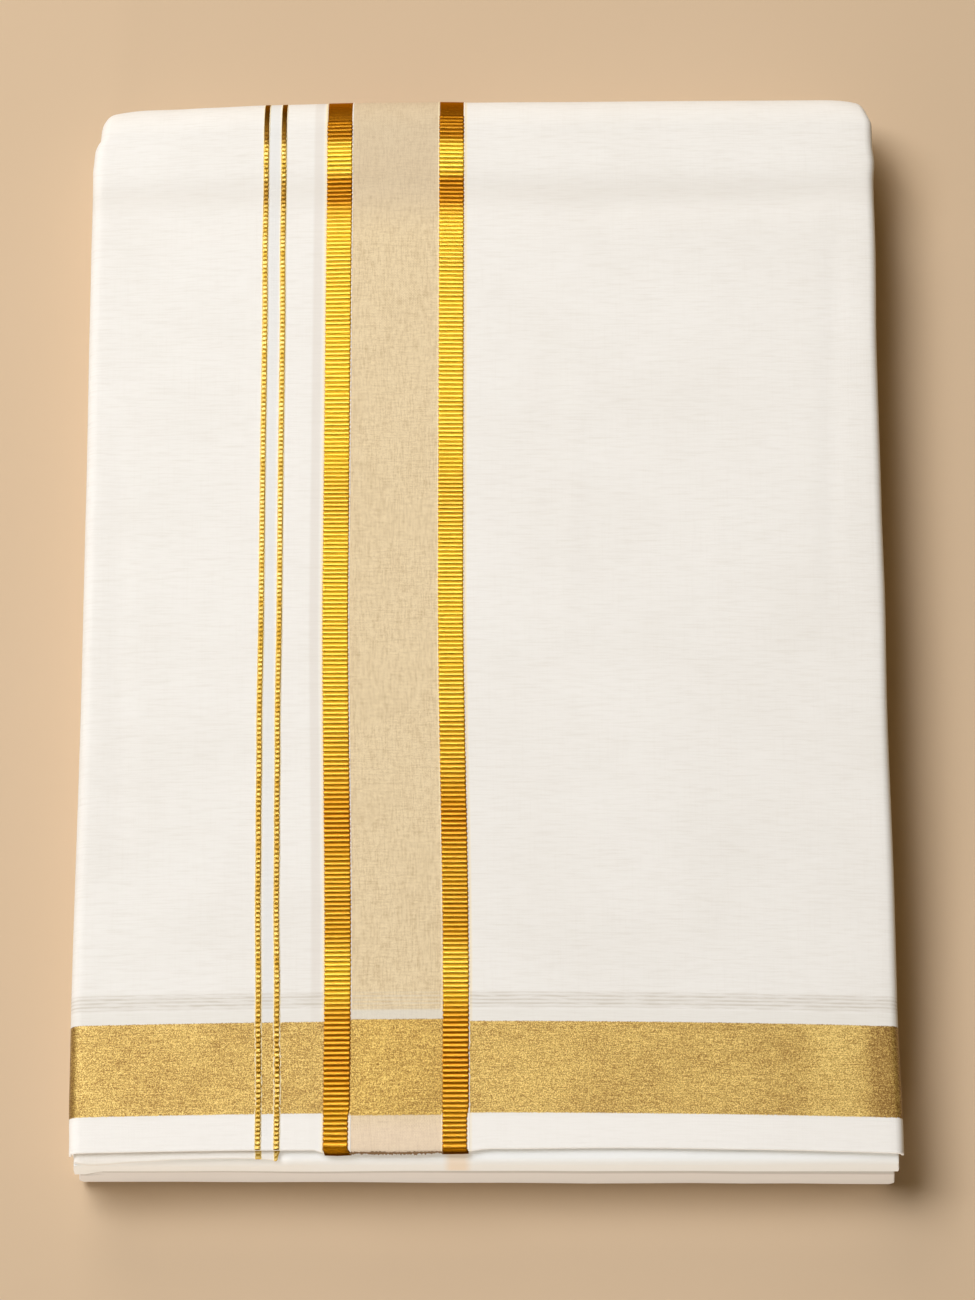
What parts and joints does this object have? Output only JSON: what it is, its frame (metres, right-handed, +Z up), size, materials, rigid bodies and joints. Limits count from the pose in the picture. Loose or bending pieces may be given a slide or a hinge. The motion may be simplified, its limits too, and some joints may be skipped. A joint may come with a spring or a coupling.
{
  "type": "folded dhoti cloth",
  "caption": "White cotton dhoti with gold zari border stripes and a gold end band, pressed and folded to a flat oblong that rests on a surface.",
  "frame": {"origin": "middle of the footprint, on the surface that the folded cloth rests on", "axes": "+X to the right of someone who faces the near selvedge edge, +Y from that edge to the far fold, +Z up out of the surface"},
  "size_m": [0.236, 0.3355, 0.0312],
  "materials": {
    "top_leaf": "white cotton weave with ribbed gold zari stripes, a gold end band and a cream tissue stripe",
    "second_leaf": "white cotton weave, pressed",
    "folded_layers": "white cotton weave, pressed, layered at its edges",
    "base_leaf": "white cotton weave, pressed"
  },
  "bodies": {
    "root": {"top_leaf": "top_leaf", "second_leaf": "second_leaf", "folded_layers": "folded_layers", "base_leaf": "base_leaf"}
  },
  "joints": []
}
